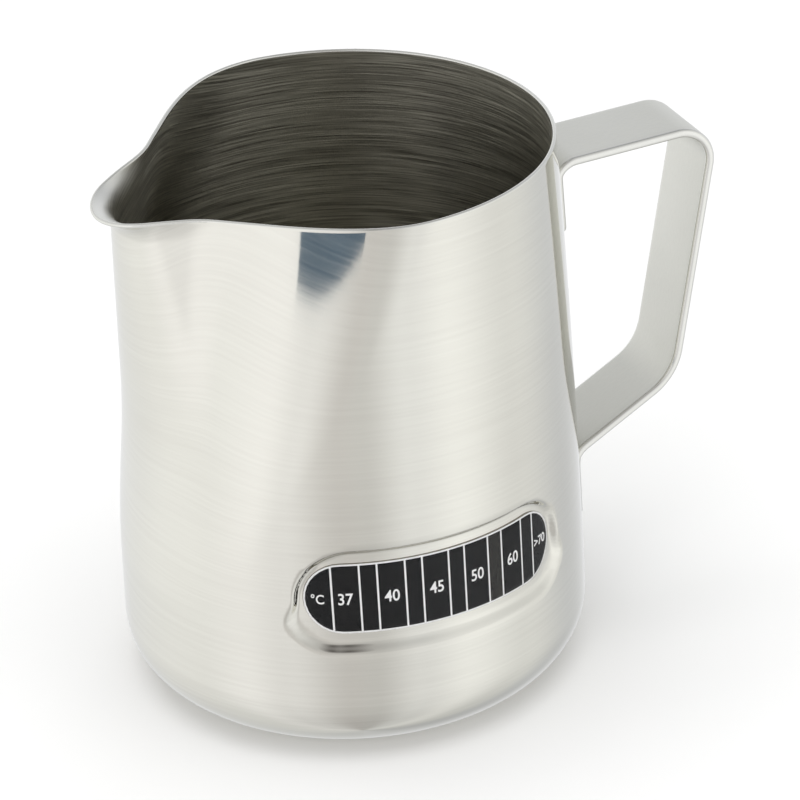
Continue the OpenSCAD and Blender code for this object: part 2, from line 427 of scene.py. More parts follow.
@dataclass(frozen=True)
class BrushedSteel:
    """Stainless steel with fine lines from a belt or a wheel.

    Attributes:
        name: The material's name.
        light: Its paler tint.
        dark: Its deeper tint, in cloudy patches and along the lines; on the jug's inside it is painted shade.
        roughness: Its lowest and highest roughness.
        brushing: How the lines run.
        lines: Lines per metre across the brushing.
        stretch: Features per metre along it.
        depth: Depth of the lines in metres, as bump.
        pull: Anisotropy of the shine.
        cloud: Cloudy patches per metre.
        line_share: How much of the tint follows the lines, and not the clouds.
        contrast: Half the range of the pattern over which the tint runs; less is sharper.
        polish_and_highlight: Tint and roughness where the mesh's polish attribute is full, or nothing. The
            tint is a painted highlight, the roughness a smoother finish.
    """

    name: str
    light: Colour
    dark: Colour
    roughness: tuple[float, float]
    brushing: Brushing = Brushing.ROUND
    lines: float = 2600.0
    stretch: float = 45.0
    depth: float = 2e-6
    pull: float = 0.0
    cloud: float = 28.0
    line_share: float = 0.45
    contrast: float = 0.14
    polish_and_highlight: tuple[Colour, float] | None = None

    def dress(self) -> bpy.types.Material:
        """Makes the material: hairlines in roughness and bump, and a cloudy tint.

        Where polish is set, the mesh's attribute of that name runs the tint and the roughness over to
        the polished ones: a lighter tint, which is a painted highlight, and a smoother finish.
        """
        b = Bench(self.name)
        if self.brushing is Brushing.ROUND:
            lined = b.turned_place(self.stretch, self.lines)
        else:
            scaled = b.add("Mapping", Vector=b.place())
            scaled.inputs["Scale"].default_value = (self.stretch, self.lines, self.stretch)
            lined = scaled.outputs[0]
        hair = b.noise(lined, 1.0, 5.0, 0.62)
        cloud = b.noise(b.turned_place(self.cloud, self.cloud * 0.6), 1.0, 2.0, 0.5)
        clouds = b.sum_up("MULTIPLY", cloud, 1 - self.line_share)
        both = b.sum_up("MULTIPLY_ADD", hair, self.line_share, clouds)
        low, high = 0.5 - self.contrast, 0.5 + self.contrast
        tint = b.tinted(b.ranged(both, low, high, 0.0, 1.0), self.dark, self.light)
        rough = b.ranged(hair, 0.3, 0.7, *self.roughness)
        # Painted highlight with a smoother finish: the polish share lifts the tint to the lighter polish tint
        # and lowers the roughness.
        if self.polish_and_highlight:
            share = b.add("Attribute", {"attribute_name": "polish_and_highlight"}).outputs["Fac"]
            tint = b.tinted(share, tint, self.polish_and_highlight[0])
            less = b.sum_up("SUBTRACT", self.polish_and_highlight[1], rough)
            rough = b.sum_up("MULTIPLY_ADD", share, less, rough)
        shader = b.add("BsdfPrincipled", Metallic=1.0, Anisotropic=self.pull)
        b.feed(shader, "Base Color", tint)
        b.feed(shader, "Roughness", rough)
        bump = b.add("Bump", Strength=1.0, Distance=self.depth, Height=hair)
        b.feed(shader, "Normal", bump.outputs[0])
        if self.pull:
            tangent = b.add("Tangent", {"direction_type": "UV_MAP", "uv_map": "Sheet"})
            b.feed(shader, "Tangent", tangent.outputs[0])
            b.feed(shader, "Anisotropic Rotation", 0.25)
        return b.finish(shader.outputs[0])


@dataclass(frozen=True)
class PrintedFilm:
    """Ink or film that lies in the strip, with a faint mottle.

    Attributes:
        name: The material's name.
        light: Its paler tint.
        dark: Its deeper tint.
        roughness: Its roughness.
        grain: Mottles per metre.
        gloss: Specular level.
    """

    name: str
    light: Colour
    dark: Colour
    roughness: float = 0.45
    grain: float = 900.0
    gloss: float = 0.5

    def dress(self) -> bpy.types.Material:
        """Makes the material: a tint that wanders between two colours, and a trace of bump."""
        b = Bench(self.name)
        mottle = b.noise(b.place(), self.grain, 3.0, 0.6)
        shader = b.add("BsdfPrincipled", Roughness=self.roughness, Specular_IOR_Level=self.gloss)
        b.feed(shader, "Base Color", b.tinted(b.ranged(mottle, 0.35, 0.65, 0.0, 1.0), self.dark, self.light))
        bump = b.add("Bump", Strength=0.4, Distance=4e-6, Height=mottle)
        b.feed(shader, "Normal", bump.outputs[0])
        return b.finish(shader.outputs[0])


@dataclass(frozen=True)
class ClearFilm:
    """The clear film over the print: see-through, with a soft shine.

    Attributes:
        name: The material's name.
        roughness: Roughness of its shine.
        index: Its index of refraction.
        strength: Share of the shine that shows.
    """

    name: str = "clear_cover"
    roughness: float = 0.12
    index: float = 1.46
    strength: float = 0.55

    def dress(self) -> bpy.types.Material:
        """Makes the material: a shine over clear, mixed by Fresnel on the front faces only."""
        b = Bench(self.name)
        scuff = b.noise(b.place(), 420.0, 4.0, 0.6)
        rough = b.ranged(scuff, 0.3, 0.7, self.roughness * 0.6, self.roughness * 1.5)
        shine = b.add("BsdfGlossy", Color=(0.92, 0.94, 0.97, 1.0), Roughness=rough)
        clear = b.add("BsdfTransparent")
        share = b.add("Fresnel", IOR=self.index).outputs[0]
        back = b.add("NewGeometry").outputs["Backfacing"]
        front = b.sum_up("MULTIPLY_ADD", back, -self.strength, self.strength)
        mixed = b.add("MixShader")
        b.feed(mixed, 0, b.sum_up("MULTIPLY", share, front))
        b.feed(mixed, 1, clear.outputs[0])
        b.feed(mixed, 2, shine.outputs[0])
        return b.finish(mixed.outputs[0])


OUTSIDE = BrushedSteel(
    "jug_outside", (0.775, 0.77, 0.715), (0.715, 0.705, 0.655), (0.06, 0.10),
    lines=1500.0, stretch=30.0, depth=1.4e-6, pull=0.6,
)
# The inside's deep tint lies far below steel's own and is painted shade: with the brushing pattern it darkens
# the jug's inside in patches and along the lines. Its polish tint, lighter than the rest, is a painted
# highlight on the curled lip, with a smoother finish.
INSIDE_PAINTED_SHADE = BrushedSteel(
    "jug_inside_painted_shade", (0.74, 0.72, 0.61), (0.20, 0.19, 0.16), (0.28, 0.42), lines=4200.0, stretch=60.0,
    depth=3.5e-6, pull=0.92, line_share=0.75, contrast=0.17, polish_and_highlight=((0.84, 0.84, 0.81), 0.30),
)
RIM_EDGE = BrushedSteel("rim_edge", (0.80, 0.80, 0.77), (0.74, 0.74, 0.70), (0.16, 0.26), depth=1e-6)
STRAP_FACE = BrushedSteel(
    "strap_steel_satin", (0.82, 0.82, 0.78), (0.73, 0.73, 0.69), (0.40, 0.52), Brushing.STRAIGHT,
    lines=2600.0, stretch=900.0, depth=4e-6,
)
STRAP_EDGE = BrushedSteel(
    "strap_edge_polish", (0.82, 0.82, 0.79), (0.75, 0.75, 0.72), (0.14, 0.24), Brushing.STRAIGHT,
    lines=1800.0, stretch=60.0, depth=1e-6,
)
WELD_DISC = BrushedSteel(
    "weld_disc", (0.62, 0.60, 0.58), (0.44, 0.41, 0.38), (0.28, 0.45), Brushing.STRAIGHT, depth=3e-6
)
BLACK = PrintedFilm("strip_black", (0.010, 0.0105, 0.011), (0.006, 0.0062, 0.0066), gloss=0.0)
WHITE = PrintedFilm("strip_white", (0.80, 0.80, 0.80), (0.72, 0.72, 0.72), gloss=0.0)
CRYSTAL = PrintedFilm(
    "strip_crystal", (0.013, 0.013, 0.013), (0.007, 0.0072, 0.0075), grain=1400.0, gloss=0.0
)
CRYSTAL_PALE = PrintedFilm(
    "strip_crystal_pale", (0.045, 0.043, 0.038), (0.012, 0.012, 0.012), grain=1700.0, gloss=0.0
)
GLUE = PrintedFilm("strip_glue", (0.62, 0.58, 0.46), (0.50, 0.46, 0.36))


# ---------------------------------------------------------------- the jug


@dataclass
class JugBody:
    """The drawn jug: one closed sheet with a spout, a curled lip, a recess and a dished base.

    All sizes are in millimetres and all angles in degrees.
    """

    height: float = field(default_factory=lambda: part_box("jug_body")[1].z / MM)
    belly_r: float = 45.0
    mouth_r: float = 41.75
    corner_r: float = 12.0
    sheet: float = 0.8
    straight_share: float = 0.48
    dish: float = 0.8
    dish_r: float = 27.0
    dish_ramp: float = 3.0

    pinch_depth: float = 7.3
    pinch_foot: float = 28.0
    pinch_power: float = 1.25
    pinch_outer: tuple[float, float] = (34.0, 94.5)
    pinch_inner: tuple[float, float] = (8.0, 39.0)
    tongue_foot: float = 50.0
    tongue_low: float = 40.0
    keel_foot_r: float = 42.6
    keel_lean: float = 0.004
    nose_rim_r: float = 11.7
    nose_growth: float = 0.43
    flank: float = 48.0
    blend: float = 1.4
    rim_dip: float = 3.5
    dip_reach: float = 80.0
    lip_length: float = 5.7
    lip_curl: float = 98.0
    lip_reach: float = 34.5

    strip_length: float = 53.4
    strip_height: float = 14.5
    strip_z: float = 34.85
    strip_turn: float = 1.2
    recess_depth: float = 1.5
    recess_length: float = 57.0
    recess_height: float = 22.6
    recess_z: float = 34.4
    recess_slope: tuple[float, float, float] = (1.7, 3.0, 1.2)
    recess_bulge: float = 3.2
    recess_inner_spread: float = 1.2

    columns: int = 400
    base_radii: tuple[float, ...] = (4, 9, 14, 19, 23, 26, 27, 27.8, 28.5, 29.2, 30, 31, 32.2)
    corner_rows: int = 14
    foot_rows: int = 9
    pressed_rows: int = 58
    over_rows: int = 20
    over_share: float = 0.26
    upper_rows: int = 26
    lip_rows: int = 13
    edge_rows: int = 6

    # -- the sheet's outer surface

    def wall(self, z: Array | float) -> Array:
        """Radius of the round wall: a cone and a parabola together, from the belly to the mouth.

        Args:
            z: Height.

        Returns:
            The outer radius there.
        """
        u = (z - self.corner_r) / (self.height - self.corner_r)
        bow = self.straight_share * u + (1 - self.straight_share) * u * u
        return self.belly_r - (self.belly_r - self.mouth_r) * bow

    def pinched(self, psi: Array, z: Array) -> Array:
        """Radius of the wall where it is drawn in on both sides of the spout.

        The wall's radius less a depth that grows as a power of height, eased to nothing between two
        angles that both widen with height.

        Args:
            psi: Angle from the spout.
            z: Height.

        Returns:
            The outer radius there.
        """
        t = np.clip((z - self.pinch_foot) / (self.height - self.pinch_foot), 0, 1)
        outer = self.pinch_outer[0] + (self.pinch_outer[1] - self.pinch_outer[0]) * t
        inner = self.pinch_inner[0] + (self.pinch_inner[1] - self.pinch_inner[0]) * t
        fade = ease((outer - np.abs(psi)) / (outer - inner))
        return self.wall(z) - self.pinch_depth * t**self.pinch_power * fade

    def tongue(self, psi: Array, z: Array) -> Array:
        """Radius of the spout's raised tongue: in plan a round nose between two straight flanks.

        Args:
            psi: Angle from the spout.
            z: Height.

        Returns:
            The outer radius there, and nothing past the flanks' own direction. Below its low end it
            stays as it is there, which is inside the round wall.
        """
        up = np.maximum(z, self.tongue_low)
        nose = self.nose_rim_r + self.nose_growth * (self.height - up)
        centre = self.keel_foot_r + self.keel_lean * (up - self.tongue_foot) - nose
        a = np.radians(np.minimum(np.abs(psi), 90.0))
        turn = math.radians(self.flank)
        nose_end = np.arctan2(nose * math.sin(turn), centre + nose * math.cos(turn))
        front = centre * np.cos(a) + np.sqrt(np.maximum(nose**2 - (centre * np.sin(a)) ** 2, 0))
        side = (centre * math.cos(turn) + nose) / np.cos(np.minimum(a, turn) - turn)
        return np.where(a >= turn, 0.0, np.where(a <= nose_end, front, side))

    def recess(self, psi: Array, z: Array, inside: bool = False) -> Array:
        """Depth to which the recess is pressed below the round wall.

        The recess's outline has round ends, and the distance inside it is measured on the unrolled
        wall. Its lower half is longer than its upper one by a bulge at each end. The depth is eased from
        nothing at the outline to full at the slope's width. The slope has one width at the top, one at
        the bottom and one at the ends, and they run together by height. On the inside, the outline is
        wider, because the sheet bends round it.

        Args:
            psi: Angle from the spout.
            z: Height.
            inside: Whether the inner surface is meant.

        Returns:
            The depth there.
        """
        floor_r = self.wall(self.strip_z) - self.recess_depth
        along = np.abs(np.radians(self.from_strip(psi))) * floor_r
        end_r = self.recess_height / 2
        level = np.clip((z - self.recess_z) / end_r, -1, 1)
        below = ease(-level / 0.5)
        past = np.maximum(along - (self.recess_length / 2 - end_r) - self.recess_bulge * below, 0)
        away = end_r - np.hypot(past, z - self.recess_z)
        top, bottom, end = self.recess_slope
        slope = end + (top - end) * ease(level) + (bottom - end) * below
        if inside:
            away, slope = away + self.recess_inner_spread / 2, slope + self.recess_inner_spread
        return self.recess_depth * ease(away / slope)

    def from_strip(self, psi: Array) -> Array:
        """Angle from the strip's middle, positive towards the handle."""
        return -((psi + 90 + self.strip_turn + 180) % 360 - 180)

    def radius(self, psi: Array, z: Array, inside: bool = False) -> Array:
        """The outer radius with tongue, drawn-in sides and recess together."""
        return smooth_max(self.tongue(psi, z), self.pinched(psi, z), self.blend) - self.recess(psi, z, inside)

    def rim_height(self, psi: Array) -> Array:
        """Height of the sheet's edge before the lip is curled."""
        return self.height - self.rim_dip * ease((self.dip_reach - np.abs(psi)) / self.dip_reach)

    def curl(self, psi: Array) -> Array:
        """Angle in degrees through which the lip is curled: a raised cosine about the spout."""
        bell = (1 + np.cos(np.pi * np.clip(psi / self.lip_reach, -1, 1))) / 2
        return self.lip_curl * bell

    # -- the grid

    def headings(self) -> Array:
        """Angles of the columns, closer together at the spout, across the recess, and most at its ends.

        A density with a bump at each of those places is summed round the circle, and the columns stand
        at equal steps of that sum.

        Returns:
            The angles from the spout, rising.
        """
        fine = np.linspace(-180, 180, 7201)
        away = np.abs(self.from_strip(fine))
        density = 0.8 + 1.3 * ease((62 - np.abs(fine)) / 16) + 0.8 * ease((54 - away) / 14)
        density += 6.0 * ease((7.5 - np.abs(away - 36.5)) / 3)
        total = np.concatenate([[0], np.cumsum((density[1:] + density[:-1]) / 2)])
        return np.interp(spread(0, total[-1], self.columns), total, fine)

    def section_rows(self) -> Array:
        """The rows' places up the outer sheet.

        Returns:
            One number a row: from -2 to -1 it lies on the base, from -1 to 0 on the corner, from 0 to 1
            on the wall, and from 1 to 2 on the lip.
        """
        low, high = self.recess_span()
        over = high + self.over_share
        return np.concatenate([
            np.array(self.base_radii) / (self.belly_r - self.corner_r) - 2, spread(-1, 0, self.corner_rows),
            spread(0, low, self.foot_rows), self.recess_rows(low, high), spread(high, over, self.over_rows),
            spread(over, 1, self.upper_rows), np.linspace(1, 2, self.lip_rows),
        ])

    def recess_rows(self, low: float, high: float) -> Array:
        """Rows across the recess, five times as close on its two steps as on its floor.

        Args:
            low: The wall's share at which the recess begins.
            high: The share at which it ends.

        Returns:
            The rows' shares, from low up to, and without, high.
        """
        fine = np.linspace(0, 1, 401)
        step = (self.recess_slope[1] + 1.0) / self.recess_height
        density = 1 + 4 * (np.minimum(fine, 1 - fine) < step)
        total = np.concatenate([[0], np.cumsum(density[1:])])
        return low + (high - low) * np.interp(spread(0, total[-1], self.pressed_rows), total, fine)

    def recess_span(self) -> tuple[float, float]:
        """The wall's shares at which the recess begins and ends."""
        top = self.height - self.lip_length - self.corner_r
        low, high = (self.recess_z + side * self.recess_height / 2 - self.corner_r for side in (-1, 1))
        return low / top, high / top

    def outer_points(self, psi: Array, rows: Array, inside: bool = False) -> Array:
        """Points of the outer surface.

        The base is flat with a dished middle, the corner is a quarter circle, the wall runs straight up
        to where the lip begins, and the lip is an arc whose length is the same all round and whose
        angle is the curl.

        Args:
            psi: Angles of the columns.
            rows: Places of the rows.
            inside: Whether the recess has its inner width.

        Returns:
            Points indexed by row and column.
        """
        p, s = np.meshgrid(psi, rows)
        ring = self.belly_r - self.corner_r
        base_r = (s + 2) * ring
        base_z = self.dish * ease((self.dish_r + self.dish_ramp - base_r) / self.dish_ramp)
        turn = np.radians(np.clip(s + 1, 0, 1) * 90)
        corner_r = ring + self.corner_r * np.sin(turn)
        corner_z = self.corner_r * (1 - np.cos(turn))

        lip_z = self.rim_height(p) - self.lip_length
        share = np.clip(s, 0, 1)
        low_z = self.corner_r + share * (self.height - self.lip_length - self.corner_r)
        fall = (self.height - self.lip_length) - lip_z
        wall_z = low_z - fall * ease((share - 0.45) / 0.55)

        run = np.clip(s - 1, 0, 1) * (self.lip_length - self.sheet / 2)
        curl = np.radians(self.curl(p))
        bend_r = self.lip_length / np.maximum(curl, 1e-4)
        bent = curl * run / self.lip_length
        straight = curl < 2e-4
        rise = np.where(straight, run, bend_r * np.sin(bent))
        out = np.where(straight, 0.0, bend_r * (1 - np.cos(bent)))

        on_lip = s > 1
        z = np.where(on_lip, lip_z + rise, wall_z)
        r = self.radius(p, np.where(on_lip, lip_z + run, wall_z), inside) + np.where(on_lip, out, 0.0)
        on_corner, on_base = (s <= 0) & (s > -1), s <= -1
        z = np.where(on_corner, corner_z, np.where(on_base, base_z, z))
        r = np.where(on_corner, corner_r, np.where(on_base, base_r, r))
        a = np.radians(p)
        return np.stack([-r * np.cos(a), r * np.sin(a), z], -1)

    def outward(self, points: Array, psi: Array) -> Array:
        """Outward unit normals of a grid of points, by the cross product of its two directions.

        Args:
            points: Points indexed by row and column.
            psi: Angles of the columns.

        Returns:
            One normal for each point.
        """
        about = np.roll(points, -1, 1) - np.roll(points, 1, 1)
        up = np.gradient(points, axis=0)
        normal = unit(np.cross(up, about))
        a = np.radians(psi)
        away = np.stack([-np.cos(a), np.sin(a), -0.6 * np.ones_like(a)], -1)
        return normal * np.sign((normal * away[None]).sum(-1, keepdims=True))

    def skin(self) -> Skin:
        """The closed sheet: outer surface, round edge, inner surface, and a fan at each pole.

        The inner surface is the outer one moved in by the sheet's thickness along its normals, with
        every other row left out below the lip. The edge is a half circle between the two.

        Returns:
            The sheet, with slots for its outside, its inside and its edge.
        """
        psi, rows = self.headings(), self.section_rows()
        outer = self.outer_points(psi, rows)
        normal = self.outward(outer, psi)
        t = self.sheet
        edge_up = unit(outer[-1] - outer[-2])
        middle = outer[-1] - normal[-1] * t / 2
        phi = np.linspace(0, np.pi, self.edge_rows + 2)[1:-1, None, None]
        edge = middle[None] + t / 2 * (np.cos(phi) * normal[-1] + np.sin(phi) * edge_up)
        foot, lip = len(self.base_radii) + self.corner_rows, len(rows) - self.lip_rows - 1
        keep = np.concatenate([np.arange(0, foot, 2), np.arange(foot, lip, 2), np.arange(lip, len(rows))])
        mother = self.outer_points(psi, rows, inside=True)
        inner = (mother - self.outward(mother, psi) * t)[keep[::-1]]
        grid = np.concatenate([outer, edge, inner])
        points = grid.reshape(-1, 3)
        count, across = grid.shape[:2]
        low = np.array([0, 0, self.dish])
        quads = ring_quads(count, across)
        first, last = np.arange(across), np.arange(across) + (count - 1) * across
        size = len(points)
        triangles = np.concatenate([fan(size, first, False), fan(size + 1, last, True)])
        points = np.concatenate([points, [low, low + [0, 0, t]]])

        strip = np.repeat(np.arange(count - 1), across)
        slots = np.where(strip >= len(outer) + len(edge) - 1, 1, 0)
        slots = np.where((strip >= len(outer) - 1) & (strip < len(outer) + len(edge)), 2, slots)
        u = np.append(psi, psi[0] + 360) / 360
        v = np.linspace(0, 1, count)
        i, j = np.meshgrid(np.arange(count - 1), np.arange(across), indexing="ij")
        uv = np.stack([
            np.stack([u[j], v[i]], -1), np.stack([u[j + 1], v[i]], -1),
            np.stack([u[j + 1], v[i + 1]], -1), np.stack([u[j], v[i + 1]], -1),
        ], 2).reshape(-1, 4, 2)
        # The inner sheet's polish share: a smoother finish with a painted highlight on the curled lip.
        polish_and_highlight = np.zeros(grid.shape[:2])
        polish_and_highlight[len(outer) + len(edge):] = self.lip_polish_and_highlight(psi, rows[keep[::-1]])
        polish_and_highlight = np.append(polish_and_highlight.ravel(), [0, 0])
        return Skin(points, quads[:, ::-1], triangles[:, ::-1], slots, uv[:, ::-1], polish_and_highlight)

    def lip_polish_and_highlight(self, psi: Array, rows: Array) -> Array:
        """Share of polish on the inner sheet, a smoother finish with a painted highlight: full on the curled
        lip, eased to nothing below it.
        """
        p, s = np.meshgrid(psi, rows)
        return ease((s - 1.05) / 0.75) * ease(self.curl(p) / 60)

    def build(self) -> bpy.types.Object:
        """Makes and dresses the jug's body."""
        finishes = [OUTSIDE.dress(), INSIDE_PAINTED_SHADE.dress(), RIM_EDGE.dress()]
        piece = self.skin().to_object("jug_shell", finishes)
        mesh = piece.data
        slots = np.zeros(len(mesh.polygons), np.int32)
        mesh.polygons.foreach_get("material_index", slots)
        slots[-self.columns:] = 1
        mesh.polygons.foreach_set("material_index", slots)
        return settle(piece, Slot.JUG, "jug_body")


# ---------------------------------------------------------------- the handle


@dataclass
class StrapHandle:
    """The handle: a strap with rounded edges, bent to shape, its ends turned down against the wall.

    All sizes are in millimetres.
    """

    jug: JugBody
    width: float = 16.6
    thickness: float = 1.75
    edge_r: float = 0.72
    top_z: float = 96.0
    top_x: float = 75.9
    top_corner_z: float = 97.2
    low_x: float = 66.4
    low_z: float = 45.6
    foot_z: float = 33.9
    flange: float = 14.0
    bends: tuple[float, float, float, float] = (3.0, 6.5, 11.5, 3.0)
    weld_drop: float = 9.0
    weld_offset: float = 4.0
    weld_d: float = 3.6
    weld_ring: float = 0.10
    weld_dimple: float = 0.16
    weld_fall: float = 0.30
    weld_sink: float = 0.6
    arc_points: int = 7
    face_points: int = 13
    end_r: float = 0.7
    end_rows: int = 5

    def corners(self) -> Array:
        """Corners of the strap's middle line, seen from the side."""
        def beside(z: float) -> tuple[float, float]:
            """A point whose face touches the wall."""
            return float(self.jug.wall(z)) + self.thickness / 2, z

        return np.array([
            beside(self.top_z - self.flange), beside(self.top_z), (self.top_x, self.top_corner_z),
            (self.low_x, self.low_z), beside(self.foot_z), beside(self.foot_z - self.flange),
        ])

    def path(self, step: float = 0.7) -> Array:
        """The middle line with its corners rounded.

        Each corner is replaced by an arc that touches both of its straights, and straights are cut
        into equal steps.

        Args:
            step: Longest step on a straight.

        Returns:
            Points as distance from the axis and height.
        """
        points = self.corners()
        line = [points[0][None]]
        for before, corner, after, r in zip(points, points[1:], points[2:], self.bends):
            u, v = unit(before - corner), unit(after - corner)
            half = math.acos(float(np.clip(u @ v, -1, 1))) / 2
            centre = corner + unit(u + v) * r / math.sin(half)
            start, end = corner + u * r / math.tan(half), corner + v * r / math.tan(half)
            line.append(self.straight(line[-1][-1], start, step))
            count = max(8, int(r * (math.pi - 2 * half) / 0.35))
            a0, a1 = (math.atan2(q[1], q[0]) for q in (start - centre, end - centre))
            swing = (a1 - a0 + math.pi) % (2 * math.pi) - math.pi
            a = a0 + swing * np.arange(1, count + 1) / count
            line.append(centre + r * np.stack([np.cos(a), np.sin(a)], -1))
        line.append(self.straight(line[-1][-1], points[-1], step))
        return np.concatenate(line)

    @staticmethod
    def straight(start: Array, end: Array, step: float) -> Array:
        """Equal steps from after start up to end."""
        count = max(1, int(np.linalg.norm(end - start) / step))
        return start + (end - start) * (np.arange(1, count + 1) / count)[:, None]

    def section(self) -> Array:
        """The strap's section: a rectangle whose corners are arcs.

        Returns:
            Its points in order, as distances across the strap and through it.
        """
        r, w, t = self.edge_r, self.width / 2, self.thickness / 2
        a = np.linspace(0, np.pi / 2, self.arc_points)
        corner = np.stack([np.cos(a), np.sin(a)], -1) * r
        right_up = corner + [w - r, t - r]
        left_up = corner[::-1] * [-1, 1] + [r - w, t - r]
        across = np.linspace(w - r, r - w, self.face_points + 2)[1:-1]
        top = np.stack([across, np.full(len(across), t)], -1)
        upper = np.concatenate([right_up, top, left_up])
        return np.concatenate([upper, -upper])

    def skin(self) -> Skin:
        """The strap: its section carried along the path, bent round the wall at the flanges.

        At each end the section shrinks along a quarter circle, which rounds the end. Where the strap
        lies on the wall, each point moves in by the wall's sagitta at its own distance from the
        middle, and that share is eased to nothing round the bend.

        Returns:
            The strap, with slots for its faces and its edges.
        """
        path = self.path()
        along = unit(np.gradient(path, axis=0))
        side = np.stack([along[:, 1], -along[:, 0]], -1)
        length = np.concatenate([[0], np.cumsum(np.linalg.norm(np.diff(path, axis=0), axis=1))])
        hold = np.maximum(
            ease((self.flange + 1.5 - length) / 4.5), ease((self.flange + 1.5 - (length[-1] - length)) / 4.5)
        )
        section = self.section()
        theta = np.linspace(np.pi / 2, 0, self.end_rows + 1)[:-1]
        shrink = self.end_r * (1 - np.cos(theta))
        inset = (self.end_r - self.end_r * np.sin(theta))[:, None]
        start, end = path[0] + along[0] * inset, path[-1] - along[-1] * inset
        path_e = np.concatenate([start, path[1:-1], end[::-1]])
        pick = np.clip(np.arange(len(path_e)) - self.end_rows + 1, 0, len(path) - 1)
        side_e, hold_e = side[pick], hold[pick]
        less = np.concatenate([shrink, np.zeros(len(path) - 2), shrink[::-1]])

        scale_w = 1 - less[:, None] / (self.width / 2)
        scale_t = 1 - less[:, None] / (self.thickness / 2)
        w = section[None, :, 0] * scale_w
        t = section[None, :, 1] * scale_t
        xz = path_e[:, None] + side_e[:, None] * t[..., None]
        wall = self.jug.wall(np.clip(xz[..., 1], self.jug.corner_r, self.jug.height))
        sagitta = wall - np.sqrt(wall**2 - w**2)
        x = xz[..., 0] - sagitta * hold_e[:, None]
        grid = np.stack([x, w, xz[..., 1]], -1)
        count, across = grid.shape[:2]
        points = grid.reshape(-1, 3)
        first, last = np.arange(across), np.arange(across) + (count - 1) * across
        size = len(points)
        points = np.concatenate([points, grid[0].mean(0)[None], grid[-1].mean(0)[None]])
        triangles = np.concatenate([fan(size, first, False), fan(size + 1, last, True)])
        quads = ring_quads(count, across)
        place = np.tile(np.arange(across), count - 1) % (across // 2)
        flat = (place >= self.arc_points - 1) & (place < self.arc_points + self.face_points)
        slots = np.where(flat, 0, 1)
        return Skin(points, quads[:, ::-1], triangles[:, ::-1], slots)

    def build(self) -> bpy.types.Object:
        """Makes and dresses the strap."""
        skin = self.skin()
        piece = skin.to_object("handle_strap_bent", [STRAP_FACE.dress(), STRAP_EDGE.dress()])
        return settle(piece, Slot.STRAP, "handle_strap")

    def welds(self, name: str, node: str, joint_z: float, finish: bpy.types.Material) -> bpy.types.Object:
        """Two spot welds on a flange: discs with a raised ring and a dimpled middle.

        The disc's height over the flange is a shallow bowl inside the ring, and falls to below the
        face outside it.

        Args:
            name: The piece's name.
            node: The CAD node that it replaces.
            joint_z: Height of the joint above the flange.
            finish: The welds' material.

        Returns:
            The finished piece.
        """
        z = joint_z - self.weld_drop
        share = np.linspace(0.12, 1, 12)
        turn = spread(0, 2 * np.pi, 40)
        k, a = np.meshgrid(share, turn, indexing="ij")
        r = k * self.weld_d / 2
        lift = self.weld_ring - self.weld_dimple * (1 - ease(k / 0.8))
        lift = lift - self.weld_fall * ease((k - 0.82) / 0.18)
        parts, quads, triangles = [], [], []
        size = len(share) * len(turn)
        for number, middle in enumerate((-self.weld_offset, self.weld_offset)):
            y = middle + r * np.cos(a)
            up = z + r * np.sin(a)
            wall = np.sqrt(self.jug.wall(up) ** 2 - y**2)
            top = np.stack([wall + self.thickness + lift, y, up], -1)
            back = top[-1].copy()
            back[:, 0] -= self.weld_sink
            start = number * (size + len(turn) + 2)
            parts += [top.reshape(-1, 3), back, top[0].mean(0)[None], back.mean(0)[None]]
            quads.append(ring_quads(len(share) + 1, len(turn)) + start)
            triangles.append(fan(start + size + len(turn), start + np.arange(len(turn)), True))
            triangles.append(fan(start + size + len(turn) + 1, start + size + np.arange(len(turn)), False))
        skin = Skin(np.concatenate(parts), np.concatenate(quads)[:, ::-1], np.concatenate(triangles))
        piece = skin.to_object(name, [finish])
        return settle(piece, Slot.WELD, node)

    def build_welds(self) -> None:
        """Makes both pairs of spot welds."""
        finish = WELD_DISC.dress()
        self.welds("weld_discs_upper", "upper_spot_welds", self.top_z, finish)
        self.welds("weld_discs_lower", "lower_spot_welds", self.foot_z, finish)


# ---------------------------------------------------------------- the temperature strip


